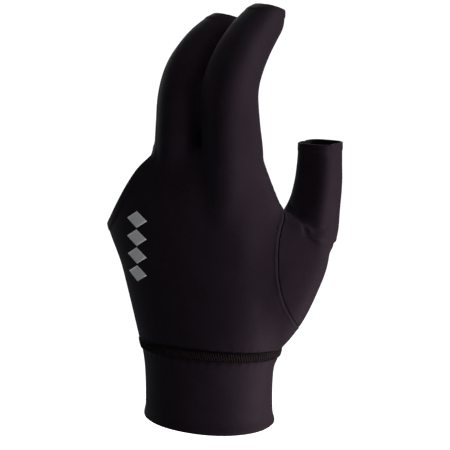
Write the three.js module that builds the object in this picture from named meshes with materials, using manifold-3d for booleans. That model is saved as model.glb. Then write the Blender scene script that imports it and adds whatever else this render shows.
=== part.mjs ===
// A three-finger billiard glove for the left hand, in its worn form.
// Millimetres. +Z runs from the wrist to the fingertips, -Y is the back of the hand, +X is the thumb side.
// The origin is the centre of the wrist opening.
import * as THREE from "three";
import { mergeVertices } from "three/addons/utils/BufferGeometryUtils.js";
import Module from "manifold-3d";

const wasm = await Module();
wasm.setup();

// Driving dimensions
const fabricWall = 1.2; // stretch fabric
const cuffWall = 1.8; // the same fabric folded double
const seamGap = 0.35; // between two sewn pieces
const cuffHeight = 33.6; // hem to wrist seam, at the palm
const seamRise = 1.8; // the wrist seam stands this much higher at the back of the hand
const seamTilt = 0.5; // and this much higher at the thumb's side, lower at the little finger's
const hemDroop = 2.2; // the hem hangs this much lower at the back of the hand
const seamBand = { height: 4.0, thickness: 1.0, lift: 0.65 }; // flat stitched band over the wrist seam
const knuckleTop = 125.5; // where the hand form ends between the fingers
const facets = { form: 44, finger: 20, web: 22 }; // sides of each lofted form
const sections = { hand: 16, sleeve: 20, web: 12, cuff: 5, thumbSeam: 28 }; // steps along each of them
const overrun = { wrist: 10, cuffTop: 5, band: 1 }; // an inner form runs on this far past an open end
const hollowStart = -5.9; // the hollow of the cuff starts here, below the hem
const trimBlock = 26; // side of the block that trims a sleeve at its hem, too narrow to reach the next one

// The hand form: one row for each level of wrist and palm
const handRows = [
  { z: -6, x: -0.5, y: 0.4, halfWidth: 32.2, halfDepth: 22.0, square: 2.15, cup: 0 },
  { z: 0, x: -0.6, y: 0.3, halfWidth: 32.2, halfDepth: 21.9, square: 2.15, cup: 0 },
  { z: 5, x: -0.7, y: 0.2, halfWidth: 31.7, halfDepth: 21.6, square: 2.15, cup: 0 },
  { z: 16, x: -0.7, y: 0.1, halfWidth: 31.6, halfDepth: 21.6, square: 2.15, cup: 0 },
  { z: 26, x: -0.5, y: 0, halfWidth: 32.4, halfDepth: 21.8, square: 2.15, cup: 0 },
  { z: 33, x: 0.2, y: 0, halfWidth: 34.4, halfDepth: 22.2, square: 2.2, cup: 0 },
  { z: 39, x: 0, y: -0.6, halfWidth: 35.8, halfDepth: 22.0, square: 2.25, cup: 0.3 },
  { z: 48, x: -0.6, y: -1.8, halfWidth: 37.4, halfDepth: 20.8, square: 2.35, cup: 1.0 },
  { z: 60, x: -2.2, y: -3.2, halfWidth: 38.9, halfDepth: 19.4, square: 2.45, cup: 1.8 },
  { z: 72, x: -5.4, y: -4.6, halfWidth: 39.2, halfDepth: 18.0, square: 2.5, cup: 2.6 },
  { z: 84, x: -8.8, y: -6.0, halfWidth: 41.0, halfDepth: 16.8, square: 2.5, cup: 3.2 },
  { z: 90, x: -10.2, y: -6.6, halfWidth: 41.4, halfDepth: 16.3, square: 2.5, cup: 3.4 },
  { z: 98, x: -10.8, y: -7.2, halfWidth: 40.6, halfDepth: 15.6, square: 2.5, cup: 3.4 },
  { z: 108, x: -11.2, y: -7.8, halfWidth: 39.4, halfDepth: 14.8, square: 2.5, cup: 3.2 },
  { z: 116, x: -11.0, y: -8.2, halfWidth: 38.2, halfDepth: 13.2, square: 2.5, cup: 2.6 },
  { z: 122, x: -10.0, y: -8.2, halfWidth: 36.8, halfDepth: 10.8, square: 2.4, cup: 2.2 },
  { z: 127, x: -10.0, y: -8.0, halfWidth: 33.0, halfDepth: 5.4, square: 2.2, cup: 2.0 },
];

// The sleeves: one row for each section along a finger, the last one past the open end; twist is in degrees
const indexRows = [
  { x: 14.2, y: -6.0, z: 74, halfWidth: 9.8, halfDepth: 9.8, twist: -14 },
  { x: 15.4, y: -7.4, z: 92, halfWidth: 11.3, halfDepth: 11.7, twist: -14 },
  { x: 17.0, y: -8.2, z: 111, halfWidth: 12.2, halfDepth: 13.1, twist: -14 },
  { x: 17.6, y: -9.2, z: 126, halfWidth: 11.9, halfDepth: 13.2, twist: -16 },
  { x: 17.2, y: -10.0, z: 139, halfWidth: 11.6, halfDepth: 12.4, twist: -16 },
  { x: 16.5, y: -9.8, z: 151, halfWidth: 11.4, halfDepth: 12.1, twist: -8 },
  { x: 16.6, y: -7.2, z: 159.6, halfWidth: 11.2, halfDepth: 11.7 },
  { x: 17.2, y: -2.4, z: 167.2, halfWidth: 10.8, halfDepth: 11.1 },
  { x: 18.0, y: 4.0, z: 174.4, halfWidth: 10.3, halfDepth: 10.3 },
  { x: 19.3, y: 10.2, z: 180.4, halfWidth: 9.6, halfDepth: 9.5 },
  { x: 20.9, y: 14.8, z: 184.8, halfWidth: 8.6, halfDepth: 8.4 },
  { x: 21.9, y: 17.6, z: 188.4, halfWidth: 6.8, halfDepth: 6.6 },
  { x: 22.5, y: 19.4, z: 191.6, halfWidth: 5.0, halfDepth: 5.0 },
];
const middleRows = [
  { x: -9.4, y: -6.2, z: 76, halfWidth: 10.2, halfDepth: 10.6 },
  { x: -9.6, y: -7.0, z: 94, halfWidth: 11.6, halfDepth: 12.6 },
  { x: -9.8, y: -7.4, z: 112, halfWidth: 12.2, halfDepth: 13.7 },
  { x: -9.4, y: -7.8, z: 126, halfWidth: 11.8, halfDepth: 13.4 },
  { x: -8.4, y: -8.4, z: 138, halfWidth: 11.7, halfDepth: 12.9 },
  { x: -8.0, y: -7.8, z: 149, halfWidth: 11.6, halfDepth: 12.5 },
  { x: -7.9, y: -4.3, z: 157.8, halfWidth: 11.4, halfDepth: 12.0 },
  { x: -7.6, y: 1.4, z: 165.2, halfWidth: 11.0, halfDepth: 11.2 },
  { x: -6.7, y: 7.8, z: 171.4, halfWidth: 10.4, halfDepth: 10.4 },
  { x: -5.0, y: 13.8, z: 176.6, halfWidth: 9.7, halfDepth: 9.3 },
  { x: -3.0, y: 18.4, z: 180.6, halfWidth: 8.3, halfDepth: 8.0 },
  { x: -1.6, y: 21.3, z: 183.8, halfWidth: 6.6, halfDepth: 6.6 },
  { x: -0.7, y: 23.3, z: 186.8, halfWidth: 5.0, halfDepth: 5.0 },
];
const thumbRows = [
  { x: 15.0, y: -0.5, z: 33, halfWidth: 8.4, halfDepth: 9.6, twist: 48 },
  { x: 24.0, y: 2.6, z: 44, halfWidth: 11.6, halfDepth: 13.4, twist: 48 },
  { x: 31.0, y: 6.0, z: 56, halfWidth: 13.3, halfDepth: 15.4, twist: 45 },
  { x: 36.2, y: 9.6, z: 69, halfWidth: 13.7, halfDepth: 15.6, twist: 44 },
  { x: 39.8, y: 13.2, z: 80, halfWidth: 13.2, halfDepth: 13.9, twist: 44 },
  { x: 42.4, y: 17.0, z: 91, halfWidth: 12.4, halfDepth: 11.8, twist: 14 },
  { x: 43.8, y: 20.4, z: 101, halfWidth: 10.9, halfDepth: 9.4 },
  { x: 44.4, y: 22.8, z: 111, halfWidth: 10.1, halfDepth: 8.5 },
  { x: 44.4, y: 24.0, z: 120, halfWidth: 9.5, halfDepth: 8.1 },
  { x: 44.4, y: 24.4, z: 128, halfWidth: 9.2, halfDepth: 7.8 },
  { x: 44.4, y: 24.6, z: 134, halfWidth: 9.1, halfDepth: 7.7 },
];

// A sleeve's sections are rounded, more like a rectangle the higher square is, and turned about its length
const index = { rows: indexRows, square: 2.6, turn: -12 };
const middle = { rows: middleRows, square: 2.1, turn: 0 };
const thumb = { rows: thumbRows, square: 3.2, turn: -8 };

// The web of fabric between hand and thumb: one row for each upright section across it
const webSquare = 3.2;
const webRows = [
  { x: 17, y: -6.4, top: 132, bottom: 62, halfThickness: 11.4 },
  { x: 24.2, y: -6.0, top: 130.5, bottom: 60, halfThickness: 10.8 },
  { x: 28, y: -6.5, top: 126.5, bottom: 59, halfThickness: 8.5 },
  { x: 31, y: -5.0, top: 120, bottom: 58.5, halfThickness: 6.5 },
  { x: 34, y: -2.5, top: 114, bottom: 58.5, halfThickness: 5.5 },
  { x: 36.6, y: 0.4, top: 108, bottom: 58.5, halfThickness: 5.0 },
  { x: 40, y: 2.6, top: 103, bottom: 59, halfThickness: 4.8 },
  { x: 44, y: 4.6, top: 99.5, bottom: 60, halfThickness: 4.8 },
  { x: 48, y: 7.6, top: 97, bottom: 66, halfThickness: 4.4 },
  { x: 51, y: 11.4, top: 92, bottom: 74, halfThickness: 2.4 },
];

// Where the sleeves end: a point on the hem and the way it faces
const thumbHem = { at: [44.8, 24.5, 129.2], facing: [0, -0.05, 1] };
const indexHem = { at: [22, 18.2, 189.6], facing: [0.1, 0.25, 1] };
const middleHem = { at: [-1.6, 21.6, 184.9], facing: [0.1, 0.3, 1] };

// The edge of the opening for the ring and little fingers, seen from the back of the hand
const openingEdge = [
  { x: -62, z: 83 },
  { x: -53, z: 87.6 },
  { x: -46, z: 91.6 },
  { x: -37.4, z: 102 },
  { x: -31, z: 110.6 },
  { x: -25.4, z: 118 },
  { x: -19.4, z: 124.2 },
];

// The seam round the base of the thumb, seen along the palm; what is outside it is the thumb piece
const outOfPalm = new THREE.Vector3(0.87, 0.493, 0);
const thumbSeamRows = [
  { out: 60, z: 28 },
  { out: 44, z: 44.6 },
  { out: 39.6, z: 49.6 },
  { out: 34.0, z: 60 },
  { out: 31.2, z: 72 },
  { out: 31.2, z: 86 },
  { out: 32.6, z: 94 },
  { out: 33.8, z: 101 },
  { out: 33.8, z: 140 },
];

// Solids from three.js geometry, so that they can be joined and cut
const weld = 1e-4; // points closer than this are one point

function solidOf(geometry) {
  const plain = geometry.index ? geometry.toNonIndexed() : geometry.clone();
  plain.deleteAttribute("normal");
  plain.deleteAttribute("uv");
  const merged = mergeVertices(plain, weld);
  const vertProperties = new Float32Array(merged.attributes.position.array);
  return new wasm.Manifold(
    new wasm.Mesh({ numProp: 3, vertProperties, triVerts: new Uint32Array(merged.index.array) }),
  );
}

function geometryOf(solid) {
  const mesh = solid.getMesh();
  const geometry = new THREE.BufferGeometry();
  geometry.setAttribute("position", new THREE.BufferAttribute(mesh.vertProperties, 3));
  geometry.setIndex(new THREE.BufferAttribute(mesh.triVerts, 1));
  geometry.computeVertexNormals();
  return geometry;
}

// A closed skin over a list of rings of points, with a flat end on the first and last ring
function skin(rings) {
  const sides = rings[0].length;
  const points = rings.flat();
  const middleOf = (ring) => ring.reduce((sum, p) => sum.add(p), new THREE.Vector3()).divideScalar(sides);
  const start = points.push(middleOf(rings[0])) - 1;
  const end = points.push(middleOf(rings.at(-1))) - 1;
  const last = (rings.length - 1) * sides;
  const faces = [];
  for (let j = 0; j < sides; j++) {
    const next = (j + 1) % sides;
    for (let i = 0; i < last; i += sides) {
      faces.push(i + j, i + next, i + sides + next, i + j, i + sides + next, i + sides + j);
    }
    faces.push(start, next, j, end, last + j, last + next);
  }
  const geometry = new THREE.BufferGeometry().setFromPoints(points);
  geometry.setIndex(faces);
  return solidOf(geometry);
}

// A smooth run through three columns of a table; share goes from 0 at the first row to 1 at the last
function columns(rows, ...names) {
  return new THREE.CatmullRomCurve3(
    rows.map((row) => new THREE.Vector3(...names.map((name) => row[name] ?? 0))),
    false,
    "catmullrom",
  );
}

// A rounded section: an ellipse at square 2, fuller towards a rectangle above that
function rounded(angle, halfWidth, halfDepth, square) {
  const c = Math.cos(angle);
  const s = Math.sin(angle);
  const reach = (Math.abs(c) ** square + Math.abs(s) ** square) ** (-1 / square);
  return [halfWidth * c * reach, halfDepth * s * reach];
}

const angles = (sides) => Array.from({ length: sides }, (_, j) => (2 * Math.PI * j) / sides);

// The hand form's surface at a height and an angle round it, moved in by inset
const handPlace = columns(handRows, "x", "y", "z");
const handSize = columns(handRows, "halfWidth", "halfDepth", "square");
const handCup = columns(handRows, "cup");
const halvings = 30; // steps that find a height on the smooth run

function shareAtHeight(z) {
  let low = 0;
  let high = 1;
  for (let i = 0; i < halvings; i++) {
    const half = (low + high) / 2;
    if (handPlace.getPoint(half).z < z) low = half;
    else high = half;
  }
  return low;
}

function handPoint(z, angle, inset) {
  const share = shareAtHeight(z);
  const centre = handPlace.getPoint(share);
  const size = handSize.getPoint(share);
  const [across, deep] = rounded(angle, size.x - inset, size.y - inset, size.z);
  const bend = handCup.getPoint(share).x * (across / size.x) ** 2;
  return new THREE.Vector3(centre.x + across, centre.y + deep + bend, z);
}

// 1 at the back of the hand, 0 at the palm
const backness = (angle) => ((1 - Math.sin(angle)) / 2) ** 2;
const seamHeight = (angle) => cuffHeight + seamRise * backness(angle) + seamTilt * Math.cos(angle);
const hemHeight = (angle) => -hemDroop * backness(angle);

// The hand form between two heights, which may change round it
function handBand(lower, upper, inset, steps) {
  const rings = [];
  for (let i = 0; i <= steps; i++) {
    const share = i / steps;
    rings.push(
      angles(facets.form).map((angle) =>
        handPoint(THREE.MathUtils.lerp(lower(angle), upper(angle), share), angle, inset),
      ),
    );
  }
  return skin(rings);
}

// A tube along a table's spine, its sections square to the spine
function sleeve({ rows, square, turn }, inset) {
  const spine = columns(rows, "x", "y", "z");
  const size = columns(rows, "halfWidth", "halfDepth", "twist");
  const rings = [];
  for (let i = 0; i <= sections.sleeve; i++) {
    const share = i / sections.sleeve;
    const centre = spine.getPoint(share);
    const along = spine.getTangent(share);
    const { x: halfWidth, y: halfDepth, z: twist } = size.getPoint(share);
    const turned = THREE.MathUtils.degToRad(turn + twist);
    const side = new THREE.Vector3(Math.cos(turned), Math.sin(turned), 0);
    side.addScaledVector(along, -side.dot(along)).normalize();
    const front = along.clone().cross(side);
    rings.push(
      angles(facets.finger).map((angle) => {
        const [across, deep] = rounded(angle, halfWidth - inset, halfDepth - inset, square);
        return centre.clone().addScaledVector(side, across).addScaledVector(front, deep);
      }),
    );
  }
  return skin(rings);
}

function web(inset) {
  const place = columns(webRows, "x", "y", "halfThickness");
  const ends = columns(webRows, "top", "bottom");
  const rings = [];
  for (let i = 0; i <= sections.web; i++) {
    const { x, y, z: halfThickness } = place.getPoint(i / sections.web);
    const { x: top, y: bottom } = ends.getPoint(i / sections.web);
    rings.push(
      angles(facets.web).map((angle) => {
        const [across, high] = rounded(angle, halfThickness - inset, (top - bottom) / 2 - inset, webSquare);
        return new THREE.Vector3(x, y + across, (top + bottom) / 2 + high);
      }),
    );
  }
  return skin(rings);
}

// A block whose face lies on a hem, which takes off all that is beyond it
function beyond({ at, facing }) {
  const out = new THREE.Vector3(...facing).normalize();
  const block = new THREE.BoxGeometry(trimBlock, trimBlock, trimBlock);
  block.translate(0, 0, trimBlock / 2);
  block.applyQuaternion(new THREE.Quaternion().setFromUnitVectors(new THREE.Vector3(0, 0, 1), out));
  block.translate(...at);
  return solidOf(block);
}

// What is cut away for the ring and little fingers, from back to palm; the middle sleeve stays whole
function opening() {
  const depth = 90;
  const reach = 200;
  const peak = openingEdge.at(-1);
  const shape = new THREE.Shape([
    ...openingEdge.map(({ x, z }) => new THREE.Vector2(x, z)),
    new THREE.Vector2(peak.x, reach),
    new THREE.Vector2(openingEdge[0].x, reach),
  ]);
  const prism = new THREE.ExtrudeGeometry(shape, { depth, bevelEnabled: false });
  prism.rotateX(Math.PI / 2);
  prism.translate(0, depth / 2, 0);
  return solidOf(prism).subtract(sleeve(middle, 0));
}

// The space that belongs to the thumb piece, its seam moved outwards by shift
function thumbSpace(shift) {
  const reach = 90;
  const seam = columns(thumbSeamRows, "out", "z").getPoints(sections.thumbSeam);
  const shape = new THREE.Shape([
    ...seam.map((p) => new THREE.Vector2(p.x + shift, p.y)),
    new THREE.Vector2(reach, seam.at(-1).y),
    new THREE.Vector2(reach, seam[0].y),
  ]);
  const prism = new THREE.ExtrudeGeometry(shape, { depth: 2 * reach, bevelEnabled: false });
  prism.translate(0, 0, -reach);
  const up = new THREE.Vector3(0, 0, 1);
  prism.applyMatrix4(new THREE.Matrix4().makeBasis(outOfPalm, up, outOfPalm.clone().cross(up)));
  return solidOf(prism);
}

// All forms that the fabric covers, moved in by inset
function covered(inset, lower) {
  const hand = handBand(lower, () => knuckleTop - inset, inset, sections.hand);
  const sleeves = [index, middle, thumb].map((finger) => sleeve(finger, inset));
  return wasm.Manifold.union([hand, ...sleeves, web(inset)]);
}

const aboveSeam = (angle) => seamHeight(angle) + seamGap / 2;
const glove = covered(0, aboveSeam)
  .subtract(covered(fabricWall, (angle) => aboveSeam(angle) - overrun.wrist))
  .subtract(beyond(thumbHem))
  .subtract(beyond(indexHem))
  .subtract(beyond(middleHem))
  .subtract(opening());

const handShell = glove.subtract(thumbSpace(-seamGap / 2));
const thumbSleeve = glove.intersect(thumbSpace(seamGap / 2));

const belowSeam = (angle) => seamHeight(angle) - seamGap / 2;
const cuffHollow = handBand(
  () => hollowStart,
  (angle) => seamHeight(angle) + overrun.cuffTop,
  cuffWall,
  sections.cuff,
);
const wristCuff = handBand(hemHeight, belowSeam, 0, sections.cuff).subtract(cuffHollow);

const bandEdge = (angle, side) => seamHeight(angle) + (side * seamBand.height) / 2;
const cuffSeam = handBand(
  (angle) => bandEdge(angle, -1),
  (angle) => bandEdge(angle, 1),
  -seamBand.lift - seamBand.thickness,
  1,
).subtract(
  handBand(
    (angle) => bandEdge(angle, -1) - overrun.band,
    (angle) => bandEdge(angle, 1) + overrun.band,
    -seamBand.lift,
    1,
  ),
);

// Finishes
const stretchFabric = new THREE.MeshStandardMaterial({ color: 0x1c171b, roughness: 0.7, metalness: 0 });
const cuffFabric = new THREE.MeshStandardMaterial({ color: 0x1e191d, roughness: 0.72, metalness: 0 });
const seamThread = new THREE.MeshStandardMaterial({ color: 0x120e0f, roughness: 0.85, metalness: 0 });

function piece(name, solid, material) {
  const mesh = new THREE.Mesh(geometryOf(solid), material);
  mesh.name = name;
  return mesh;
}

const billiardGlove = new THREE.Group();
billiardGlove.add(
  piece("hand_shell", handShell, stretchFabric),
  piece("thumb_sleeve", thumbSleeve, stretchFabric),
  piece("wrist_cuff", wristCuff, cuffFabric),
  piece("cuff_seam", cuffSeam, seamThread),
);

export default billiardGlove;
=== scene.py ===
import math
import bmesh
import bpy
import numpy as np
from mathutils import Matrix, Vector
from mathutils.bvhtree import BVHTree


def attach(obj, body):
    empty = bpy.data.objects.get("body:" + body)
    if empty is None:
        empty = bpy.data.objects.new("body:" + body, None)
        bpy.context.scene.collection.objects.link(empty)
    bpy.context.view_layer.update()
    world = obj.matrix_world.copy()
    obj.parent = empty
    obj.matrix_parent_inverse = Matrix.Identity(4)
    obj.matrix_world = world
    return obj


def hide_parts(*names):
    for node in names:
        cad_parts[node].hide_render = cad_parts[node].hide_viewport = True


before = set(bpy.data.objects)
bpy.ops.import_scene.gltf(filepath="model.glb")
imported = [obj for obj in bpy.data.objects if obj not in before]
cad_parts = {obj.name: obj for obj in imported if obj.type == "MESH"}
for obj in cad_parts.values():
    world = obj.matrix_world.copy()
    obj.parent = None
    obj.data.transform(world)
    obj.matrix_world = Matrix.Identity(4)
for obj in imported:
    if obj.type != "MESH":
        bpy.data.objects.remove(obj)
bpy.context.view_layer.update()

mm = 0.001
scene = bpy.context.scene
scene.view_settings.view_transform = "Standard"

# Camera: from the thumb's side of the back of the hand, a little above it
cameraSetup = dict(
    azimuth=30,
    elevation=9.5,
    distance=0.62,
    target=(0.0064, 0.0036, 0.0912),
    lens=107.8,
    sensor=36,
    nearest=0.05,
)


def directionFrom(azimuth, elevation):
    a, e = math.radians(azimuth), math.radians(elevation)
    return Vector((math.sin(a) * math.cos(e), -math.cos(a) * math.cos(e), math.sin(e)))


def addCamera(setup):
    lensData = bpy.data.cameras.new("camera")
    lensData.lens = setup["lens"]
    lensData.sensor_width = setup["sensor"]
    lensData.clip_start = setup["nearest"]
    eye = bpy.data.objects.new("camera", lensData)
    back = directionFrom(setup["azimuth"], setup["elevation"])
    eye.location = Vector(setup["target"]) + back * setup["distance"]
    eye.rotation_euler = back.to_track_quat("Z", "Y").to_euler()
    scene.collection.objects.link(eye)
    scene.camera = eye


addCamera(cameraSetup)
print("camera placed")

# The worn form, in millimetres: +Z to the fingertips, -Y the back of the hand, +X the thumb
handForm = dict(
    sides=128,
    steps=110,
    runSteps=1200,
    bottom=-5.9,
    top=125.5,
    rows=[  # z, x, y, half width, half depth, squareness, cup
        (-6, -0.5, 0.4, 32.2, 22.0, 2.15, 0),
        (0, -0.6, 0.3, 32.2, 21.9, 2.15, 0),
        (5, -0.7, 0.2, 31.7, 21.6, 2.15, 0),
        (16, -0.7, 0.1, 31.6, 21.6, 2.15, 0),
        (26, -0.5, 0, 32.4, 21.8, 2.15, 0),
        (33, 0.2, 0, 34.4, 22.2, 2.2, 0),
        (39, 0, -0.6, 35.8, 22.0, 2.25, 0.3),
        (48, -0.6, -1.8, 37.4, 20.8, 2.35, 1.0),
        (60, -2.2, -3.2, 38.9, 19.4, 2.45, 1.8),
        (72, -5.4, -4.6, 39.2, 18.0, 2.5, 2.6),
        (84, -8.8, -6.0, 41.0, 16.8, 2.5, 3.2),
        (90, -10.2, -6.6, 41.4, 16.3, 2.5, 3.4),
        (98, -10.8, -7.2, 40.6, 15.6, 2.5, 3.4),
        (108, -11.2, -7.8, 39.4, 14.8, 2.5, 3.2),
        (116, -11.0, -8.2, 38.2, 13.2, 2.5, 2.6),
        (122, -10.0, -8.2, 36.8, 10.8, 2.4, 2.2),
        (127, -10.0, -8.0, 33.0, 5.4, 2.2, 2.0),
    ],
)
fingerForms = dict(
    sides=56,
    steps=110,
    square=dict(index=2.6, middle=2.1, thumb=3.6),
    turn=dict(index=-12, middle=0, thumb=-8),  # degrees, the flat sides of a sleeve about its length
    index=[  # x, y, z, half width, half depth, and a twist in degrees
        (14.2, -6.0, 74, 9.8, 9.8, -14),
        (15.4, -7.4, 92, 11.3, 11.7, -14),
        (17.0, -8.2, 111, 12.2, 13.1, -14),
        (17.6, -9.2, 126, 11.9, 13.2, -16),
        (17.2, -10.0, 139, 11.6, 12.4, -16),
        (16.5, -9.8, 151, 11.4, 12.1, -8),
        (16.6, -7.2, 159.6, 11.2, 11.7, 0),
        (17.2, -2.4, 167.2, 10.8, 11.1, 0),
        (18.0, 4.0, 174.4, 10.3, 10.3, 0),
        (19.3, 10.2, 180.4, 9.6, 9.5, 0),
        (20.9, 14.8, 184.8, 8.6, 8.4, 0),
        (21.9, 17.6, 188.4, 6.8, 6.6, 0),
        (22.5, 19.4, 191.6, 5.0, 5.0, 0),
    ],
    middle=[
        (-9.4, -6.2, 76, 10.2, 10.6),
        (-9.6, -7.0, 94, 11.6, 12.6),
        (-9.8, -7.4, 112, 12.2, 13.7),
        (-9.4, -7.8, 126, 11.8, 13.4),
        (-8.4, -8.4, 138, 11.7, 12.9),
        (-8.0, -7.8, 149, 11.6, 12.5),
        (-7.9, -4.3, 157.8, 11.4, 12.0),
        (-7.6, 1.4, 165.2, 11.0, 11.2),
        (-6.7, 7.8, 171.4, 10.4, 10.4),
        (-5.0, 13.8, 176.6, 9.7, 9.3),
        (-3.0, 18.4, 180.6, 8.3, 8.0),
        (-1.6, 21.3, 183.8, 6.6, 6.6),
        (-0.7, 23.3, 186.8, 5.0, 5.0),
    ],
    thumb=[
        (15.0, -0.5, 33, 8.4, 9.6, 48),
        (24.0, 2.6, 44, 11.6, 13.4, 48),
        (31.0, 6.0, 56, 13.5, 15.6, 45),
        (36.2, 9.6, 69, 13.9, 15.8, 44),
        (39.8, 13.2, 80, 13.3, 14.0, 44),
        (42.4, 17.0, 91, 12.6, 12.0, 14),
        (43.8, 20.4, 101, 10.9, 9.4, 0),
        (44.4, 22.8, 111, 10.1, 8.5, 0),
        (44.4, 24.0, 120, 9.5, 8.1, 0),
        (44.4, 24.4, 128, 9.2, 7.8, 0),
        (44.4, 24.6, 134, 9.1, 7.7, 0),
    ],
)
webForm = dict(
    sides=64,
    steps=60,
    square=3.2,
    rows=[  # x, y, top, bottom, half thickness
        (17, -6.4, 132, 62, 11.4),
        (24.2, -6.0, 130, 60, 10.8),
        (28, -6.5, 128, 59, 8.5),
        (31, -5.0, 120, 58.5, 6.5),
        (34, -2.5, 110.5, 58.5, 5.5),
        (36.6, 0.4, 102.5, 58.5, 5.0),
        (40, 2.6, 98.5, 59, 4.8),
        (44, 4.6, 96, 60, 4.8),
        (48, 7.6, 95, 66, 4.4),
        (51, 11.4, 91, 74, 2.4),
    ],
)


def smoothRun(rows, count):  # a smooth run through the rows of a table
    p = np.asarray(rows, float)
    p = np.vstack([2 * p[0] - p[1], p, 2 * p[-1] - p[-2]])
    t = np.linspace(0, len(rows) - 1, count)
    i = np.minimum(t.astype(int), len(rows) - 2)
    f = (t - i)[:, None]
    a, b, c, d = p[i], p[i + 1], p[i + 2], p[i + 3]
    cubic = 3 * b - a - 3 * c + d
    return 0.5 * (2 * b + (c - a) * f + (2 * a - 5 * b + 4 * c - d) * f**2 + cubic * f**3)


def unit(v):
    return v / np.maximum(np.linalg.norm(v, axis=-1, keepdims=True), 1e-12)


def roundedRing(angle, width, depth, square):  # an ellipse at square 2, fuller above that
    c, s = np.cos(angle), np.sin(angle)
    reach = (np.abs(c) ** square + np.abs(s) ** square) ** (-1 / square)
    return width * c * reach, depth * s * reach


handRun = smoothRun(handForm["rows"], handForm["runSteps"])


def handAt(z, angle, out=0.0):  # a point on the hand's form, moved out by a little
    z, angle, out = np.broadcast_arrays(np.asarray(z, float), angle, out)
    cx, cy, hw, hd, square, cup = (np.interp(z, handRun[:, 0], handRun[:, k]) for k in range(1, 7))
    across, deep = roundedRing(angle, hw + out, hd + out, square)
    return np.stack([cx + across, cy + deep + cup * (across / hw) ** 2, z], -1)


def handAngle(p):  # the angle round the hand's form on which a point lies
    cx, cy, hw, hd, square, cup = (np.interp(p[:, 2], handRun[:, 0], handRun[:, k]) for k in range(1, 7))
    across = p[:, 0] - cx
    return np.arctan2((p[:, 1] - cy - cup * (across / hw) ** 2) / hd, across / hw)


def tubeRings(finger, settings):
    run = smoothRun(settings[finger], settings["steps"])
    centre, half = run[:, :3], run[:, 3:5]
    along = unit(np.gradient(centre, axis=0))
    turn = np.radians(settings["turn"][finger] + run[:, 5:].sum(1))
    across = np.stack([np.cos(turn), np.sin(turn), 0 * turn], 1)
    side = unit(across - along * (along * across).sum(1)[:, None])
    front = np.cross(along, side)
    angle = np.linspace(0, 2 * math.pi, settings["sides"], endpoint=False)
    across, deep = roundedRing(angle[None], half[:, :1], half[:, 1:], settings["square"][finger])
    return centre[:, None] + side[:, None] * across[..., None] + front[:, None] * deep[..., None]


def webRings(settings):
    run = smoothRun(settings["rows"], settings["steps"])
    angle = np.linspace(0, 2 * math.pi, settings["sides"], endpoint=False)
    high = (run[:, 2] - run[:, 3])[:, None] / 2
    across, up = roundedRing(angle[None], run[:, 4:5], high, settings["square"])
    x = np.repeat(run[:, :1], len(angle), 1)
    return np.stack([x, run[:, 1:2] + across, (run[:, 2:3] + run[:, 3:4]) / 2 + up], -1)


def closedFaces(rows, sides, caps=True):
    i = np.arange(rows - 1)[:, None] * sides
    j = np.arange(sides)[None]
    k = (j + 1) % sides
    faces = np.stack([i + j, i + k, i + sides + k, i + sides + j], -1).reshape(-1, 4).tolist()
    if caps:
        faces.append(list(range(sides - 1, -1, -1)))
        faces.append([(rows - 1) * sides + m for m in range(sides)])
    return faces


def meshObject(name, points, faces):  # points in millimetres
    mesh = bpy.data.meshes.new(name)
    mesh.from_pydata((np.asarray(points).reshape(-1, 3) * mm).tolist(), [], faces)
    mesh.polygons.foreach_set("use_smooth", [True] * len(mesh.polygons))
    mesh.update()
    obj = bpy.data.objects.new(name, mesh)
    scene.collection.objects.link(obj)
    return obj


def joinedForm():  # hand, fingers, thumb and web, one closed form with even faces
    angle = np.linspace(0, 2 * math.pi, handForm["sides"], endpoint=False)
    level = np.linspace(handForm["bottom"], handForm["top"], handForm["steps"])
    parts = [handAt(level[:, None], angle[None])]
    parts += [tubeRings(finger, fingerForms) for finger in ("index", "middle", "thumb")]
    parts.append(webRings(webForm))
    points, faces = [], []
    for rings in parts:
        start = sum(len(p) for p in points)
        faces += [[v + start for v in f] for f in closedFaces(*rings.shape[:2])]
        points.append(rings.reshape(-1, 3))
    rough = meshObject("rough", np.vstack(points), faces)
    remesh = rough.modifiers.new("even", "REMESH")
    remesh.mode = "VOXEL"
    remesh.voxel_size = fabric["grain"] * mm
    mesh = bpy.data.meshes.new_from_object(rough.evaluated_get(bpy.context.evaluated_depsgraph_get()))
    bpy.data.objects.remove(rough)
    return mesh


def bell(d, width):
    return np.exp(-((d / width) ** 2))


def ramp(d, start, end):
    t = np.clip((d - start) / (end - start), 0, 1)
    return t * t * (3 - 2 * t)


# Stretched fabric: the form is smoothed, and then the fabric spans its hollows
fabric = dict(
    grain=0.9,  # size of a face
    smoothing=12,  # rounds that shrink and grow the form by turns
    shrink=0.5,
    grow=0.52,
    tension=160,  # rounds that pull the fabric over the hollows
    span=5.0,  # how far it can leave the form
    wall=1.0,
    rimSteps=5,
)
tautZone = dict(  # index knuckle to thumb base
    low=(10, -40, 36),
    high=(60, 8, 134),
    soft=10,
    rounds=900,
    pull=0.9,
    span=7,
    towardsBack=(-0.2, 0.2),
    notUpwards=(-0.6, -0.3),
    least=0.01,
)
ridgeZone = dict(low=(12, -40, 74), high=(42, -2, 126), soft=8, rounds=45)  # below the index knuckle


def meshArrays(mesh):
    points = np.empty(len(mesh.vertices) * 3)
    mesh.vertices.foreach_get("co", points)
    faces = [tuple(p.vertices) for p in mesh.polygons]
    edges = np.empty(len(mesh.edges) * 2, int)
    mesh.edges.foreach_get("vertices", edges)
    return points.reshape(-1, 3) / mm, faces, edges.reshape(-1, 2)


def neighbourMean(v, edges, counts):
    a, b = edges.T
    n = len(v)
    total = [np.bincount(a, v[b, k], n) + np.bincount(b, v[a, k], n) for k in range(3)]
    return np.stack(total, 1) / counts[:, None]


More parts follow.
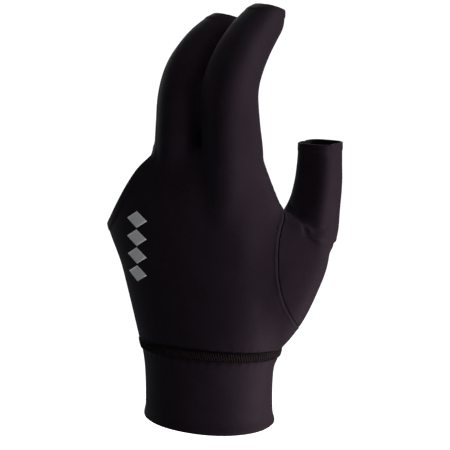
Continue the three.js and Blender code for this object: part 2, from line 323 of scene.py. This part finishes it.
def vertexNormals(v, faces):
    quads = np.array([f if len(f) == 4 else (*f, f[-1]) for f in faces if len(f) < 5])
    across = np.cross(v[quads[:, 2]] - v[quads[:, 0]], v[quads[:, 3]] - v[quads[:, 1]])
    total = np.zeros_like(v)
    for k in range(3):
        total[:, k] = sum(np.bincount(quads[:, c], across[:, k], len(v)) for c in range(4))
    return unit(total)


def stretchFabric(v, faces, edges):
    counts = np.bincount(edges.ravel(), minlength=len(v))
    shrink, grow = fabric["shrink"], fabric["grow"]
    for _ in range(fabric["smoothing"]):
        v = v + shrink * (neighbourMean(v, edges, counts) - v)
        v = v - grow * (neighbourMean(v, edges, counts) - v)
    start, out = v.copy(), vertexNormals(v, faces)
    for _ in range(fabric["tension"]):
        v = v + shrink * (neighbourMean(v, edges, counts) - v)
        lift = ((v - start) * out).sum(1)
        v = v + (np.clip(lift, 0, fabric["span"]) - lift)[:, None] * out
    v = tautSpan(v, out, edges)
    weight = shrink * zoneWeight(v, ridgeZone)[:, None]
    for _ in range(ridgeZone["rounds"]):  # rounds the ridge that the span ends on
        v = v + weight * (neighbourMean(v, edges, counts) - v)
    return v


def zoneWeight(v, zone):  # 1 inside the zone, fading to 0 at its sides
    low, high, soft = (np.array(zone[k], float) for k in ("low", "high", "soft"))
    return (ramp(v, low, low + soft) * ramp(-v, -high, -high + soft)).prod(1)


def tautSpan(v, out, edges):  # pulls the fabric nearly flat across one zone
    weight = zoneWeight(v, tautZone) * ramp(-out[:, 1], *tautZone["towardsBack"])
    weight *= ramp(-out[:, 2], *tautZone["notUpwards"])  # not along the web's upper edge
    near = [[] for _ in v]
    for a, b in edges:
        near[a].append(b)
        near[b].append(a)
    zone = np.flatnonzero(weight > tautZone["least"])
    most = max(len(near[i]) for i in zone)
    table = np.array([near[i] + [len(v)] * (most - len(near[i])) for i in zone])
    count = np.array([len(near[i]) for i in zone])[:, None]
    weight, out = tautZone["pull"] * weight[zone, None], out[zone]
    padded = np.vstack([v, np.zeros(3)])
    start = v[zone]
    for _ in range(tautZone["rounds"]):
        here = padded[zone]
        here = here + weight * (padded[table].sum(1) / count - here)
        lift = ((here - start) * out).sum(1)
        padded[zone] = here + (np.clip(lift, 0, tautZone["span"]) - lift)[:, None] * out
    return padded[:-1]


# Where the pieces begin and end; every distance is in millimetres and grows towards what is cut away
wristSeam = dict(height=33.6, rise=1.8, tilt=0.5, hemDroop=2.2, gap=0.35)
hems = dict(
    thumb=dict(at=(44.8, 24.5, 129.2), facing=(0, -0.05, 1), reach=13),
    index=dict(at=(22, 18.2, 189.6), facing=(0.1, 0.25, 1), reach=12),
    middle=dict(at=(-1.6, 21.6, 184.9), facing=(0.1, 0.3, 1), reach=12),
)
sideOpening = dict(
    edge=[(-62, 83), (-53, 87.6), (-46, 91.6), (-37.4, 102), (-31, 110.6), (-25.4, 118), (-19.4, 124.2)],
    edgeSteps=60,
    top=200,
    sleeveClear=0.9,
    sleeveSteps=90,
)
thumbSeam = dict(
    outwards=(0.87, 0.493),
    rows=[
        (60, 28), (44, 44.6), (39.6, 49.6), (34, 60), (31.2, 72), (31.2, 86), (32.6, 94), (33.8, 101),
        (33.8, 140)],
    steps=90,
    handEdge=0.25,
    handScores=(0.45, 0.9, 1.5),
    tuckUnder=0.9,  # the thumb's edge runs on under the hand's edge
    tuckDepth=1.25,
    tuckRun=(-0.25, 0.45),
    thumbScores=(-0.25, 0.1, 0.45),
)
cutting = dict(onLine=1e-7, weld=0.22)  # metres, millimetres


def backShare(angle):  # 1 in the middle of the hand's back, 0 in the middle of the palm
    return ((1 - np.sin(angle)) / 2) ** 2


def seamLevel(angle):
    level = wristSeam["height"] + wristSeam["rise"] * backShare(angle)
    return level + wristSeam["tilt"] * np.cos(angle)


def hemLevel(angle):
    return -wristSeam["hemDroop"] * backShare(angle)


def distanceToLine(p, line):
    a, b = line[:-1], line[1:]
    d = b - a
    best = np.full(len(p), 1e9)
    for start, reach in zip(a, d):
        t = np.clip(((p - start) @ reach) / (reach @ reach), 0, 1)
        best = np.minimum(best, np.linalg.norm(p - start - t[:, None] * reach, axis=1))
    return best


def pastHem(p, hem):
    at, facing = np.array(hem["at"]), unit(np.array(hem["facing"], float))
    return np.minimum((p - at) @ facing, hem["reach"] - np.linalg.norm(p - at, axis=1))


def pastOpening(p):  # the ring and little fingers' side, but never the middle finger's sleeve
    line = smoothRun(sideOpening["edge"], sideOpening["edgeSteps"])
    flat = p[:, [0, 2]]
    line = np.vstack([line, [line[-1, 0], sideOpening["top"]]])
    away = distanceToLine(flat, line)
    height = np.interp(flat[:, 0], line[:-1, 0], line[:-1, 1])
    inside = (flat[:, 0] < line[-1, 0]) & (flat[:, 1] > height)
    sleeve = smoothRun(fingerForms["middle"], sideOpening["sleeveSteps"])
    near = np.full(len(p), 1e9)
    for row in sleeve:
        rounded = (p - row[:3]) / [1, row[4] / row[3], 1]
        near = np.minimum(near, np.linalg.norm(rounded, axis=1) - row[3])
    return np.minimum(np.where(inside, away, -away), near - sideOpening["sleeveClear"])


def pastThumbSeam(p):  # positive on the thumb's side
    line = smoothRun(thumbSeam["rows"], thumbSeam["steps"])
    flat = np.stack([p[:, :2] @ np.array(thumbSeam["outwards"]), p[:, 2]], 1)
    away = distanceToLine(flat, line)
    away = np.where(flat[:, 0] > np.interp(flat[:, 1], line[:, 1], line[:, 0]), away, -away)
    return np.minimum(away, thumbSeam["rows"][-1][1] - p[:, 2])


def belowWristSeam(p):
    return seamLevel(handAngle(p)) + wristSeam["gap"] / 2 + fabric["wall"] / 2 - p[:, 2]


def cutPiece(mesh, cuts, scores):  # a score only lays an edge line along the fabric
    bm = bmesh.new()
    bm.from_mesh(mesh)
    place = bm.verts.layers.float_vector.new("place")
    for field, clears in [(cut, True) for cut in cuts] + [(score, False) for score in scores]:
        bm.verts.ensure_lookup_table()
        points = np.array([v.co[:] for v in bm.verts])
        values = field(points / mm) * mm
        for v, value in zip(bm.verts, values):
            v[place] = v.co
            v.co.x = value
        geometry = bm.verts[:] + bm.edges[:] + bm.faces[:]
        bmesh.ops.bisect_plane(
            bm, geom=geometry, dist=cutting["onLine"], plane_co=(0, 0, 0), plane_no=(1, 0, 0),
            clear_outer=clears)
        for v in bm.verts:
            v.co = v[place]
    rim = [v for v in bm.verts if v.is_boundary]
    near = list(dict.fromkeys(w for v in rim for e in v.link_edges for w in e.verts))  # in a fixed order
    bmesh.ops.remove_doubles(bm, verts=near, dist=cutting["weld"] * mm)
    loose = [v for v in bm.verts if not v.link_faces]
    bmesh.ops.delete(bm, geom=loose, context="VERTS")
    keepLargest(bm)
    bmesh.ops.triangulate(bm, faces=[f for f in bm.faces if len(f.verts) > 4])
    points = np.array([v.co[:] for v in bm.verts]) / mm
    bm.verts.index_update()
    faces = [tuple(v.index for v in f.verts) for f in bm.faces]
    bm.free()
    return points, faces


def keepLargest(bm):  # drops any offcut that a cut leaves loose
    bm.verts.ensure_lookup_table()
    seen, groups = set(), []
    for start in bm.verts:
        if start in seen:
            continue
        group, stack = [], [start]
        seen.add(start)
        while stack:
            v = stack.pop()
            group.append(v)
            for e in v.link_edges:
                w = e.other_vert(v)
                if w not in seen:
                    seen.add(w)
                    stack.append(w)
        groups.append(group)
    groups.sort(key=len)
    for group in groups[:-1]:
        bmesh.ops.delete(bm, geom=group, context="VERTS")


def thickShell(name, points, faces, wall):  # a wall inwards from the outside face, with rounded rims
    normals = vertexNormals(points, faces)
    used = {}
    for f in faces:
        for a, b in zip(f, f[1:] + f[:1]):
            used[(a, b)] = f
    rimEdges = [(a, b) for (a, b) in used if (b, a) not in used]
    off = {}
    for a, b in rimEdges:
        away = np.cross(unit(points[b] - points[a]), (normals[a] + normals[b]) / 2)
        off[a] = off.get(a, 0) + away
        off[b] = off.get(b, 0) + away
    rim = sorted(off)
    away = unit(np.array([off[k] for k in rim]))
    r = wall / 2
    middle, up = points[rim] - normals[rim] * r, normals[rim]
    rows = [{k: k for k in rim}]
    everything = [points, points - normals * wall]
    n = len(points)
    for k in range(1, fabric["rimSteps"]):
        turn = math.pi * k / fabric["rimSteps"]
        everything.append(middle + up * r * math.cos(turn) + away * r * math.sin(turn))
        rows.append({v: 2 * n + (k - 1) * len(rim) + i for i, v in enumerate(rim)})
    rows.append({k: n + k for k in rim})
    allFaces = list(faces) + [tuple(n + k for k in reversed(f)) for f in faces]
    for a, b in rimEdges:
        for low, high in zip(rows, rows[1:]):
            allFaces.append((low[b], low[a], high[a], high[b]))
    return meshObject(name, np.vstack(everything), allFaces)


clearOfHand = 60  # a ray starts this far away, in millimetres

# Small forms of the sewn fabric
smallForms = dict(
    hem=dict(width=3.2, height=0.3, fade=0.5),  # the turned edge of each opening
    lip=dict(height=0.16, at=0.8, width=0.5),  # the hand's side of the thumb seam stands up
    wristTuck=dict(depth=0.7, reach=2.6),  # the fabric dips into the wrist seam
    gathers=dict(count=47, height=0.09, at=1.6, reach=2.6, drift=2, drifts=3),  # beside the wrist seam
)


def hemmed(depth):  # depth: distance back from a cut edge
    hem = smallForms["hem"]
    return hem["height"] * (1 - ramp(depth, hem["width"] - hem["fade"], hem["width"] + hem["fade"]))


def gathered(angle, away):  # away: distance from the wrist seam
    g = smallForms["gathers"]
    wave = np.sin(angle * g["count"] + g["drift"] * np.sin(g["drifts"] * angle))
    return g["height"] * wave * bell(away - g["at"], g["reach"])


def dressHand(points, faces):
    out = vertexNormals(points, faces)
    seam = -pastThumbSeam(points) - thumbSeam["handEdge"]
    wrist = -belowWristSeam(points)
    lip, tuck = smallForms["lip"], smallForms["wristTuck"]
    lift = lip["height"] * bell(seam - lip["at"], lip["width"])
    lift += hemmed(-pastHem(points, hems["index"])) + hemmed(-pastHem(points, hems["middle"]))
    lift += hemmed(-pastOpening(points))
    lift -= tuck["depth"] * (1 - ramp(wrist, 0, tuck["reach"])) ** 2
    lift += gathered(handAngle(points), wrist)
    return points + out * lift[:, None]


thumbFolds = dict(
    seen=(30, 9.5),  # azimuth and elevation from which the lines are placed
    steps=80,
    within=(-9, -5),  # depth over which a fold fades out under the fabric
    fromSeam=(0.5, 3),
    upper=dict(
        line=[
            (37.0, 4.4, 101.2), (40.3, 4.8, 99), (43.3, 5.0, 97.2), (46.1, 5.4, 95.6), (48.4, 5.7, 94),
            (51.9, 7.1, 91.6), (54, 11, 89.6)],
        roll=(0.4, -1.4, 1.6), dip=(1.4, 1.4, 2.2), fade=(3, 6)),
    lower=dict(
        line=[
            (46.0, 4.4, 94.4), (47.2, 4.2, 92.4), (48.6, 3.7, 90.4), (51.2, 4.6, 88.3), (53.6, 8.8, 86.4),
            (54.6, 14, 85), (54.6, 20, 84)],
        roll=(0.4, 1.9, 1.2), dip=(1.0, 0.0, 0.8), fade=(8, 12)),
)


def onSurface(line, points, faces, seen):  # moves a line along one direction onto the fabric
    surface = BVHTree.FromPolygons([Vector(p) for p in points.tolist()], faces)
    seated = [surface.ray_cast(Vector(p) + seen * clearOfHand, -seen)[0] for p in line]
    return [tuple(hit or Vector(p)) for hit, p in zip(seated, line)]


def foldLift(points, faces, out, fold):  # a roll of fabric beside a crease, fading at both ends
    seated = onSurface(fold["line"], points, faces, directionFrom(*thumbFolds["seen"]))
    line = smoothRun(seated, thumbFolds["steps"])
    gap = points[:, None] - line[None]
    near = np.linalg.norm(gap, axis=2).argmin(1)
    gap = gap[np.arange(len(points)), near]
    along = unit(np.gradient(line, axis=0))[near]
    beside = (gap * np.cross(out, along)).sum(1)
    length = np.concatenate([[0], np.cumsum(np.linalg.norm(np.diff(line, axis=0), axis=1))])
    place = length[near] + (gap * along).sum(1)
    start, end = fold["fade"]
    weight = ramp(place, -start / 2, start / 2) * ramp(length[-1] - place, -end / 2, end / 2)
    weight *= ramp(-np.abs((gap * out).sum(1)), *thumbFolds["within"])
    (rise, at, width), (depth, bottom, narrow) = fold["roll"], fold["dip"]
    return weight * (rise * bell(beside - at, width) - depth * bell(beside - bottom, narrow))


def dressThumb(points, faces):
    out = vertexNormals(points, faces)
    seam = pastThumbSeam(points)
    lift = hemmed(-pastHem(points, hems["thumb"]))
    lift -= thumbSeam["tuckDepth"] * (1 - ramp(seam, *thumbSeam["tuckRun"]))
    for fold in (thumbFolds["upper"], thumbFolds["lower"]):
        lift += foldLift(points, faces, out, fold) * ramp(seam, *thumbFolds["fromSeam"])
    return points + out * lift[:, None]


base = joinedForm()
points, faces, edges = meshArrays(base)
print("form:", len(points), "points")
points = stretchFabric(points, faces, edges)
base.vertices.foreach_set("co", (points * mm).ravel())
base.update()
print("fabric stretched")

handCuts = [
    belowWristSeam,
    lambda p: pastHem(p, hems["index"]),
    lambda p: pastHem(p, hems["middle"]),
    lambda p: pastThumbSeam(p) + thumbSeam["handEdge"],
    pastOpening,
]
handScores = [
    lambda p, d=d: pastThumbSeam(p) + thumbSeam["handEdge"] + d for d in thumbSeam["handScores"]]
handPoints, handFaces = cutPiece(base, handCuts, handScores)
handPoints = dressHand(handPoints, handFaces)
handFabric = thickShell("hand_fabric", handPoints, handFaces, fabric["wall"])
print("hand cut:", len(handFabric.data.polygons), "faces")

thumbCuts = [
    lambda p: -pastThumbSeam(p) - thumbSeam["tuckUnder"],
    lambda p: pastHem(p, hems["thumb"]),
]
thumbScores = [lambda p, d=d: d - pastThumbSeam(p) for d in thumbSeam["thumbScores"]]
thumbPoints, thumbFaces = cutPiece(base, thumbCuts, thumbScores)
thumbPoints = dressThumb(thumbPoints, thumbFaces)
thumbFabric = thickShell("thumb_fabric", thumbPoints, thumbFaces, fabric["wall"])
print("thumb cut:", len(thumbFabric.data.polygons), "faces")

# Cuff: folded double, one even tube
cuff = dict(
    sides=400,
    rows=56,
    wall=1.8,
    lip=dict(out=0.5, reach=3.0),  # the fold at the hem is thicker
    tuck=dict(depth=0.9, reach=1.6),  # the top dips under the seam
    waves=[(0.12, 3, 1.3, 1), (0.08, 7, 0, 2)],  # height, waves round, start, waves upwards
)


def makeCuff():
    angle = np.linspace(0, 2 * math.pi, cuff["sides"], endpoint=False)
    low = hemLevel(angle) + cuff["wall"] / 2
    high = seamLevel(angle) - wristSeam["gap"] / 2 - cuff["wall"] / 2
    share = np.linspace(0, 1, cuff["rows"])[:, None]
    z = low + (high - low) * share
    out = cuff["lip"]["out"] * bell(z - low, cuff["lip"]["reach"])
    out -= cuff["tuck"]["depth"] * bell(z - high, cuff["tuck"]["reach"])
    for height, turns, start, upwards in cuff["waves"]:
        out += height * np.sin(turns * angle + start) * np.sin(upwards * math.pi * share)
    out += gathered(angle, high - z)
    rings = handAt(z, np.broadcast_to(angle, z.shape), out)
    faces = [tuple(f) for f in closedFaces(*z.shape, caps=False)]
    return thickShell("cuff_fabric", rings.reshape(-1, 3), faces, cuff["wall"])


cuffFabric = makeCuff()
print("cuff made")

# The flat seam between cuff and hand, and its stitches
seamBand = dict(
    sides=300,
    profile=[
        (-2.1, -0.3), (-2.0, 0.1), (-1.6, 0.3), (-0.8, 0.4), (0, 0.44), (0.8, 0.4), (1.6, 0.3),
        (2.0, 0.1), (2.1, -0.3), (1.8, -0.9), (0, -1.0), (-1.8, -0.9)],
    edges=(-1.95, 1.95),  # a thread runs along each edge
    edgeOut=0.22,
    edgeThread=0.34,
    edgeSides=8,
)
seamStitches = dict(
    spacing=1.15,
    length=4.3,
    width=0.78,
    thickness=0.7,
    out=0.38,
    tilt=12,  # degrees
    wander=4,
    seed=4,
    lineSteps=400,
)
bead = dict(Segments=10, Rings=8, Radius=0.5)


def ringMesh(name, profile):  # a closed profile of up and out steps, carried round the wrist seam
    angle = np.linspace(0, 2 * math.pi, seamBand["sides"], endpoint=False)
    rows = [handAt(seamLevel(angle) + up, angle, np.full_like(angle, out)) for up, out in profile]
    count, sides = len(rows), len(angle)
    faces = []
    for i in range(count):
        for j in range(sides):
            a, b, k = i * sides, ((i + 1) % count) * sides, (j + 1) % sides
            faces.append((a + j, a + k, b + k, b + j))
    return meshObject(name, np.array(rows).reshape(-1, 3), faces)


def edgeThread(up):
    turns = np.linspace(0, 2 * math.pi, seamBand["edgeSides"], endpoint=False)
    half = seamBand["edgeThread"]
    return [(up - half * math.cos(t), seamBand["edgeOut"] + half * math.sin(t)) for t in turns]


def stitchTree():
    tree = bpy.data.node_groups.new("slanted stitches", "GeometryNodeTree")
    face = tree.interface
    face.new_socket("Geometry", in_out="INPUT", socket_type="NodeSocketGeometry")
    for name in ("Spacing", "Length", "Width", "Thickness", "Tilt", "Wander"):
        face.new_socket(name, in_out="INPUT", socket_type="NodeSocketFloat")
    face.new_socket("Seed", in_out="INPUT", socket_type="NodeSocketInt")
    face.new_socket("Thread", in_out="INPUT", socket_type="NodeSocketMaterial")
    face.new_socket("Geometry", in_out="OUTPUT", socket_type="NodeSocketGeometry")
    node, link = tree.nodes.new, tree.links.new
    given, result = node("NodeGroupInput"), node("NodeGroupOutput")
    run = node("GeometryNodeMeshToCurve")
    spread = node("GeometryNodeResampleCurve")
    spread.mode = "LENGTH"
    along = node("GeometryNodeInputTangent")
    away = node("GeometryNodeInputNamedAttribute")
    away.data_type = "FLOAT_VECTOR"
    away.inputs["Name"].default_value = "away"
    follow = node("FunctionNodeAlignRotationToVector")
    follow.axis = "X"
    faceOut = node("FunctionNodeAlignRotationToVector")
    faceOut.axis, faceOut.pivot_axis = "Y", "X"
    lean = node("FunctionNodeRotateRotation")
    lean.rotation_space = "LOCAL"
    drift = node("FunctionNodeRandomValue")
    drift.data_type = "FLOAT"
    low = node("ShaderNodeMath")
    low.operation = "MULTIPLY"
    low.inputs[1].default_value = -1
    angle = node("ShaderNodeMath")
    turn = node("ShaderNodeCombineXYZ")
    euler = node("FunctionNodeEulerToRotation")
    thread = node("GeometryNodeMeshUVSphere")
    for name, value in bead.items():
        thread.inputs[name].default_value = value
    size = node("ShaderNodeCombineXYZ")
    shape = node("GeometryNodeTransform")
    sew = node("GeometryNodeInstanceOnPoints")
    real = node("GeometryNodeRealizeInstances")
    smooth = node("GeometryNodeSetShadeSmooth")
    finish = node("GeometryNodeSetMaterial")
    link(given.outputs["Geometry"], run.inputs["Mesh"])
    link(run.outputs["Curve"], spread.inputs["Curve"])
    link(given.outputs["Spacing"], spread.inputs["Length"])
    link(along.outputs["Tangent"], follow.inputs["Vector"])
    link(follow.outputs["Rotation"], faceOut.inputs["Rotation"])
    link(away.outputs["Attribute"], faceOut.inputs["Vector"])
    link(given.outputs["Wander"], low.inputs[0])
    link(low.outputs[0], drift.inputs[2])
    link(given.outputs["Wander"], drift.inputs[3])
    link(given.outputs["Seed"], drift.inputs["Seed"])
    link(given.outputs["Tilt"], angle.inputs[0])
    link(drift.outputs[1], angle.inputs[1])
    link(angle.outputs[0], turn.inputs["Y"])
    link(turn.outputs["Vector"], euler.inputs["Euler"])
    link(faceOut.outputs["Rotation"], lean.inputs["Rotation"])
    link(euler.outputs["Rotation"], lean.inputs["Rotate By"])
    link(given.outputs["Width"], size.inputs["X"])
    link(given.outputs["Thickness"], size.inputs["Y"])
    link(given.outputs["Length"], size.inputs["Z"])
    link(thread.outputs["Mesh"], shape.inputs["Geometry"])
    link(size.outputs["Vector"], shape.inputs["Scale"])
    link(spread.outputs["Curve"], sew.inputs["Points"])
    link(shape.outputs["Geometry"], sew.inputs["Instance"])
    link(lean.outputs["Rotation"], sew.inputs["Rotation"])
    link(sew.outputs["Instances"], real.inputs["Geometry"])
    link(real.outputs["Geometry"], smooth.inputs[0])
    link(smooth.outputs[0], finish.inputs["Geometry"])
    link(given.outputs["Thread"], finish.inputs["Material"])
    link(finish.outputs["Geometry"], result.inputs["Geometry"])
    return tree


def sewAlong(name, line, away, tree, settings, material):
    mesh = bpy.data.meshes.new(name + "_line")
    count = len(line)
    mesh.from_pydata((line * mm).tolist(), [(i, (i + 1) % count) for i in range(count)], [])
    mesh.attributes.new("away", "FLOAT_VECTOR", "POINT").data.foreach_set("vector", away.ravel())
    obj = bpy.data.objects.new(name, mesh)
    scene.collection.objects.link(obj)
    sewing = obj.modifiers.new("sewing", "NODES")
    sewing.node_group = tree
    values = {k.capitalize(): settings[k] * mm for k in ("spacing", "length", "width", "thickness")}
    values |= {k.capitalize(): math.radians(settings[k]) for k in ("tilt", "wander")}
    values |= dict(Seed=settings["seed"], Thread=material)
    for item in tree.interface.items_tree:
        if item.in_out == "INPUT" and item.name in values:
            sewing[item.identifier] = values[item.name]
    done = bpy.data.meshes.new_from_object(obj.evaluated_get(bpy.context.evaluated_depsgraph_get()))
    obj.modifiers.clear()
    obj.data = done
    return obj


def seamLine(out):  # points along the seam, and the way out of the fabric at each
    angle = np.linspace(0, 2 * math.pi, seamStitches["lineSteps"], endpoint=False)
    line = handAt(seamLevel(angle), angle, np.full_like(angle, out))
    above = handAt(seamLevel(angle) + 1, angle, np.full_like(angle, out))
    along = np.roll(line, -1, 0) - np.roll(line, 1, 0)
    return line, unit(np.cross(along, above - line))


# Finishes
finishes = dict(
    stretch=dict(
        colour=(0.0190, 0.0114, 0.0168),
        roughness=0.6, specular=0.045, sheen=0.014, grain=0.10, loops=2100),
    cuff=dict(
        colour=(0.0195, 0.0118, 0.0173),
        roughness=0.62, specular=0.045, sheen=0.014, grain=0.10, loops=1900),
    thread=dict(
        colour=(0.0164, 0.0098, 0.0118),
        roughness=0.75, specular=0.05, sheen=0.009, grain=0.15, loops=5200),
    band=dict(
        colour=(0.0059, 0.0030, 0.0034),
        roughness=0.7, specular=0.045, sheen=0.012, grain=0.15, loops=3000),
)
knit = dict(
    stretch=(1, 1, 0.7),  # loops are taller than wide
    randomness=0.55,
    courses=dict(Distortion=1.2, Detail=1),
    loopsPerCourse=6.3,
    courseShare=0.35,
    mottle=dict(Scale=120, Detail=3),
    speckle=dict(Scale=1300, Detail=1),
    speckleShare=0.5,
    bump=0.5,
    toneRange=0.4,  # darkest and lightest about the colour
    sheenRoughness=0.45,
    sheenTint=(0.85, 0.7, 0.82, 1),
)
printLook = dict(
    roughness=0.5,
    specular=0.4,
    wear=900,
    dark=(0.86, 0.72, 0.73, 1),
    light=(0.98, 0.84, 0.85, 1),
)


def newFinish(name):
    material = bpy.data.materials.new(name)
    material.use_nodes = True
    return material, material.node_tree, material.node_tree.nodes["Principled BSDF"]


def setInputs(target, **values):
    for name, value in values.items():
        target.inputs[name].default_value = value


def fabricFinish(name, look):
    material, tree, shader = newFinish(name)
    node, link = tree.nodes.new, tree.links.new
    setInputs(shader, **{
        "Roughness": look["roughness"],
        "Specular IOR Level": look["specular"],
        "Sheen Weight": look["sheen"],
        "Sheen Roughness": knit["sheenRoughness"],
        "Sheen Tint": knit["sheenTint"],
    })
    place = node("ShaderNodeTexCoord")
    taller = node("ShaderNodeMapping")
    setInputs(taller, Scale=knit["stretch"])
    loops = node("ShaderNodeTexVoronoi")
    setInputs(loops, Scale=look["loops"], Randomness=knit["randomness"])
    courses = node("ShaderNodeTexWave")
    courses.bands_direction = "Z"
    setInputs(courses, Scale=look["loops"] / knit["loopsPerCourse"], **knit["courses"])
    mottle = node("ShaderNodeTexNoise")
    setInputs(mottle, **knit["mottle"])
    speckle = node("ShaderNodeTexNoise")
    setInputs(speckle, **knit["speckle"])
    height = node("ShaderNodeMix")
    height.data_type = "FLOAT"
    setInputs(height, Factor=knit["courseShare"])
    bump = node("ShaderNodeBump")
    setInputs(bump, Strength=knit["bump"], Distance=look["grain"] * mm)
    tone = node("ShaderNodeValToRGB")
    for stop, share in zip(tone.color_ramp.elements, (1 - knit["toneRange"], 1 + knit["toneRange"])):
        stop.color = (*(c * share for c in look["colour"]), 1)
    blend = node("ShaderNodeMix")
    blend.data_type = "FLOAT"
    setInputs(blend, Factor=knit["speckleShare"])
    link(place.outputs["Object"], taller.inputs["Vector"])
    link(taller.outputs["Vector"], loops.inputs["Vector"])
    for texture in (courses, mottle, speckle):
        link(place.outputs["Object"], texture.inputs["Vector"])
    link(loops.outputs["Distance"], height.inputs["A"])
    link(courses.outputs["Fac"], height.inputs["B"])
    link(height.outputs["Result"], bump.inputs["Height"])
    link(mottle.outputs["Fac"], blend.inputs["A"])
    link(speckle.outputs["Fac"], blend.inputs["B"])
    link(blend.outputs["Result"], tone.inputs["Fac"])
    link(tone.outputs["Color"], shader.inputs["Base Color"])
    link(bump.outputs["Normal"], shader.inputs["Normal"])
    return material


def printFinish():
    material, tree, shader = newFinish("pale print")
    node, link = tree.nodes.new, tree.links.new
    setInputs(shader, **{
        "Roughness": printLook["roughness"],
        "Specular IOR Level": printLook["specular"],
    })
    place = node("ShaderNodeTexCoord")
    wear = node("ShaderNodeTexNoise")
    setInputs(wear, Scale=printLook["wear"])
    tone = node("ShaderNodeValToRGB")
    tone.color_ramp.elements[0].color = printLook["dark"]
    tone.color_ramp.elements[1].color = printLook["light"]
    link(place.outputs["Object"], wear.inputs["Vector"])
    link(wear.outputs["Fac"], tone.inputs["Fac"])
    link(tone.outputs["Color"], shader.inputs["Base Color"])
    return material


stretchLook = fabricFinish("stretch fabric", finishes["stretch"])
cuffLook = fabricFinish("cuff fabric", finishes["cuff"])
threadLook = fabricFinish("seam thread", finishes["thread"])
bandLook = fabricFinish("seam band", finishes["band"])

band = ringMesh("seam_band", seamBand["profile"])
lowEdge, highEdge = (
    ringMesh("seam_edge_" + name, edgeThread(up))
    for name, up in zip(("low", "high"), seamBand["edges"]))
line, away = seamLine(seamStitches["out"])
stitches = sewAlong("seam_stitches", line, away, stitchTree(), seamStitches, threadLook)
print("seam sewn:", len(stitches.data.polygons), "faces")

# The printed mark: a column of plain diamonds on the back of the hand
backPrint = dict(
    top=(-25.2, 94.8),
    bottom=(-26.4, 69.4),
    count=4,
    width=12.0,
    height=7.8,
    lift=0.05,
    film=0.06,
    grid=9,
)


def makePrint():
    surface = BVHTree.FromPolygons([Vector(p) for p in handPoints.tolist()], handFaces)
    top, bottom = np.array(backPrint["top"]), np.array(backPrint["bottom"])
    axis = unit(bottom - top)
    side = np.array([-axis[1], axis[0]])
    half = backPrint["width"] / 2, backPrint["height"] / 2
    verts, faces = [], []
    n = backPrint["grid"]
    for k in range(backPrint["count"]):
        centre = top + (bottom - top) * k / (backPrint["count"] - 1)
        start = len(verts)
        for i in range(n):
            for j in range(n):
                u, v = i / (n - 1) - 0.5, j / (n - 1) - 0.5
                x, z = centre + side * (u + v) * half[0] + axis * (u - v) * half[1]
                hit, normal, _, _ = surface.ray_cast(Vector((x, -clearOfHand, z)), Vector((0, 1, 0)))
                verts.append(np.array(hit + normal * backPrint["lift"]))
        for i in range(n - 1):
            for j in range(n - 1):
                a = start + i * n + j
                faces.append((a, a + n, a + n + 1, a + 1))
    obj = meshObject("back_print", verts, faces)
    film = obj.modifiers.new("film", "SOLIDIFY")
    film.thickness = backPrint["film"] * mm
    film.offset = 1
    return obj


backMark = makePrint()
print("print laid")

for obj, material, slot, node in (
    (handFabric, stretchLook, "stretch_fabric", "hand_shell"),
    (thumbFabric, stretchLook, "stretch_fabric", "thumb_sleeve"),
    (cuffFabric, cuffLook, "cuff_fabric", "wrist_cuff"),
    (band, bandLook, "seam_thread", "cuff_seam"),
    (stitches, None, "seam_thread", None),
    (lowEdge, bandLook, "seam_thread", None),
    (highEdge, bandLook, "seam_thread", None),
    (backMark, printFinish(), "stretch_fabric", None),
):
    if material:
        obj.data.materials.append(material)
    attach(obj, "root")
    if node:
        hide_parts(node)

# Studio: a white floor and surround that light nothing, and five soft lights
studio = dict(
    floorLevel=-0.3,
    floorRadius=4,
    floorSides=64,
    roomRadius=3.9,
    roomSides=(64, 32),
    white=(0.9, 0.9, 0.9, 1),
    glow=1.0,
    ambient=0.128,
    ambientColour=(0.9, 1.12, 1.15, 1),
    aim=(0, 0, 0.1),
    lights=dict(  # azimuth, elevation, distance and size in metres, watts
        key=(118, 20, 0.9, 0.45, 4.3),
        low=(90, -33, 0.38, 0.28, 1.75),
        top=(50, 75, 0.9, 0.6, 1.2),
        rim=(-105, 5, 1.0, 0.6, 1.9),
        back=(205, 20, 1.0, 0.8, 6.6),
    ),
)


def areaLight(name, azimuth, elevation, distance, size, power):
    data = bpy.data.lights.new(name, "AREA")
    data.shape, data.size, data.energy = "SQUARE", size, power
    lamp = bpy.data.objects.new(name, data)
    away = directionFrom(azimuth, elevation)
    lamp.location = Vector(studio["aim"]) + away * distance
    lamp.rotation_euler = away.to_track_quat("Z", "Y").to_euler()
    scene.collection.objects.link(lamp)


def makeStudio():
    world = bpy.data.worlds.new("room")
    world.use_nodes = True
    sky = world.node_tree.nodes["Background"]
    setInputs(sky, Color=studio["ambientColour"], Strength=studio["ambient"])
    scene.world = world
    for name, values in studio["lights"].items():
        areaLight(name, *values)
    white, _, shader = newFinish("pale surround")
    setInputs(shader, **{
        "Base Color": studio["white"],
        "Emission Color": (1, 1, 1, 1),
        "Emission Strength": studio["glow"],
    })
    floor, room = bmesh.new(), bmesh.new()
    level = Matrix.Translation((0, 0, studio["floorLevel"]))
    bmesh.ops.create_circle(
        floor, cap_ends=True, segments=studio["floorSides"], radius=studio["floorRadius"], matrix=level)
    turns, rings = studio["roomSides"]
    bmesh.ops.create_uvsphere(room, u_segments=turns, v_segments=rings, radius=studio["roomRadius"])
    for name, bm in (("floor", floor), ("surround", room)):
        mesh = bpy.data.meshes.new(name)
        bm.to_mesh(mesh)
        bm.free()
        mesh.materials.append(white)
        obj = bpy.data.objects.new(name, mesh)
        scene.collection.objects.link(obj)
        obj.visible_diffuse = obj.visible_glossy = obj.visible_transmission = obj.visible_shadow = False


makeStudio()
print("studio lit")
